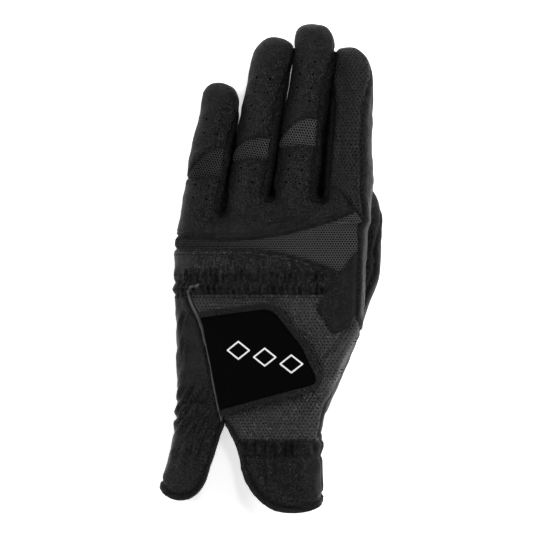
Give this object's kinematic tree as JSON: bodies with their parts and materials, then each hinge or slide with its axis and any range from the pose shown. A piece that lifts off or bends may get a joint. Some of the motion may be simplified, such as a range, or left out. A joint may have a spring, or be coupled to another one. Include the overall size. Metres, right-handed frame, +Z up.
{
  "type": "golf glove",
  "caption": "Black left-hand leather sport glove with knitted flex inserts, perforated fingers, gathered back, split cuff and a wide closing tab.",
  "frame": {"origin": "middle of the base of the glove's box as it lies palm down on a flat surface", "axes": "+X towards the index finger's side, +Y from the cuff to the fingertips, +Z up out of the back of the hand"},
  "size_m": [0.1078, 0.2362, 0.0459],
  "materials": {
    "leather": "smooth black sheepskin, satin",
    "perforated_leather": "smooth black leather with rows of pin holes",
    "side_leather": "thinner black leather of the finger sides",
    "grip_leather": "black leather patches with a fine tack",
    "knit_mesh": "dark grey open knit",
    "elastic": "black woven elastic tape",
    "microfibre": "matte black brushed microfibre",
    "binding": "folded black leather edge binding",
    "hook_tape": "black moulded hook tape",
    "loop_tape": "black brushed loop tape",
    "white_thread": "white embroidery thread"
  },
  "bodies": {
    "hand": {"back_knuckle_leather": "perforated_leather", "knuckle_band_mesh": "knit_mesh", "back_shirred_leather": "leather", "back_perforated_leather": "perforated_leather", "back_cuff_flap": "leather", "palm_leather": "leather", "little_edge_leather": "leather", "index_edge_leather": "leather", "thumb_gusset": "leather", "cuff_flap_binding": "binding", "cuff_back_binding": "binding", "cuff_palm_binding": "binding", "grip_chevron": "grip_leather", "palm_pad": "grip_leather", "loop_pad": "loop_tape", "back_elastic": "elastic", "cuff_elastic": "elastic", "palm_elastic": "elastic", "web_little_ring": "side_leather", "web_ring_middle": "side_leather", "web_middle_index": "side_leather"},
    "little_base": {"little_base_back": "perforated_leather", "little_base_palm": "leather", "little_base_side_walls": "side_leather", "little_flex_insert": "knit_mesh"},
    "little_tip": {"little_tip_back": "perforated_leather", "little_tip_palm": "leather", "little_tip_side_walls": "side_leather"},
    "ring_base": {"ring_base_back": "perforated_leather", "ring_base_palm": "leather", "ring_base_side_walls": "side_leather", "ring_flex_insert": "knit_mesh"},
    "ring_tip": {"ring_tip_back": "perforated_leather", "ring_tip_palm": "leather", "ring_tip_side_walls": "side_leather"},
    "middle_base": {"middle_base_back": "perforated_leather", "middle_base_palm": "leather", "middle_base_side_walls": "side_leather", "middle_flex_insert": "knit_mesh"},
    "middle_tip": {"middle_tip_back": "perforated_leather", "middle_tip_palm": "leather", "middle_tip_side_walls": "side_leather"},
    "index_base": {"index_base_back": "perforated_leather", "index_base_palm": "leather", "index_base_side_walls": "side_leather"},
    "index_tip": {"index_tip_back": "perforated_leather", "index_tip_palm": "leather", "index_tip_side_walls": "side_leather"},
    "thumb_base": {"thumb_base_back": "perforated_leather", "thumb_base_palm": "leather", "thumb_base_side_walls": "leather"},
    "thumb_tip": {"thumb_tip_back": "perforated_leather", "thumb_tip_palm": "leather", "thumb_tip_side_walls": "leather"},
    "tab": {"tab_face": "microfibre", "tab_binding": "binding", "tab_hooks": "hook_tape", "tab_emblem": "white_thread"}
  },
  "joints": [
    {"name": "little_knuckle", "type": "hinge", "parent": "hand", "child": "little_base", "pos_m": [-0.03011, 0.028, 0.00422], "axis": [-0.9649, 0.1392, -0.2228], "range_deg": [0, 60]},
    {"name": "little_middle_fold", "type": "hinge", "parent": "little_base", "child": "little_tip", "pos_m": [-0.02651, 0.05324, 0.00436], "axis": [-0.9649, 0.1392, -0.2228], "range_deg": [0, 70]},
    {"name": "ring_knuckle", "type": "hinge", "parent": "hand", "child": "ring_base", "pos_m": [-0.00829, 0.0355, 0.00925], "axis": [-0.9658, 0.1323, -0.223], "range_deg": [0, 60]},
    {"name": "ring_middle_fold", "type": "hinge", "parent": "ring_base", "child": "ring_tip", "pos_m": [-0.00457, 0.06173, 0.00869], "axis": [-0.9658, 0.1323, -0.223], "range_deg": [0, 70]},
    {"name": "middle_knuckle", "type": "hinge", "parent": "hand", "child": "middle_base", "pos_m": [0.01432, 0.036, 0.01447], "axis": [-0.9705, 0.0889, -0.2241], "range_deg": [0, 60]},
    {"name": "middle_middle_fold", "type": "hinge", "parent": "middle_base", "child": "middle_tip", "pos_m": [0.01748, 0.0668, 0.01299], "axis": [-0.9705, 0.0889, -0.2241], "range_deg": [0, 70]},
    {"name": "index_knuckle", "type": "hinge", "parent": "hand", "child": "index_base", "pos_m": [0.03829, 0.035, 0.02001], "axis": [-0.9744, -0.0017, -0.225], "range_deg": [0, 60]},
    {"name": "index_middle_fold", "type": "hinge", "parent": "index_base", "child": "index_tip", "pos_m": [0.03873, 0.05941, 0.01792], "axis": [-0.9744, -0.0017, -0.225], "range_deg": [0, 70]},
    {"name": "thumb_swing", "type": "hinge", "parent": "hand", "child": "thumb_base", "pos_m": [0.0418, -0.03285, 0.008], "axis": [0, 0, -1], "range_deg": [0, 35]},
    {"name": "thumb_fold", "type": "hinge", "parent": "thumb_base", "child": "thumb_tip", "pos_m": [0.03218, 0.00075, 0.0078], "axis": [0, 0, 1], "range_deg": [0, 50]},
    {"name": "tab_hinge", "type": "hinge", "parent": "hand", "child": "tab", "pos_m": [-0.03465, -0.0219, 0.03006], "axis": [0.2108, -0.9763, 0.0487], "range_deg": [0, 150]}
  ]
}
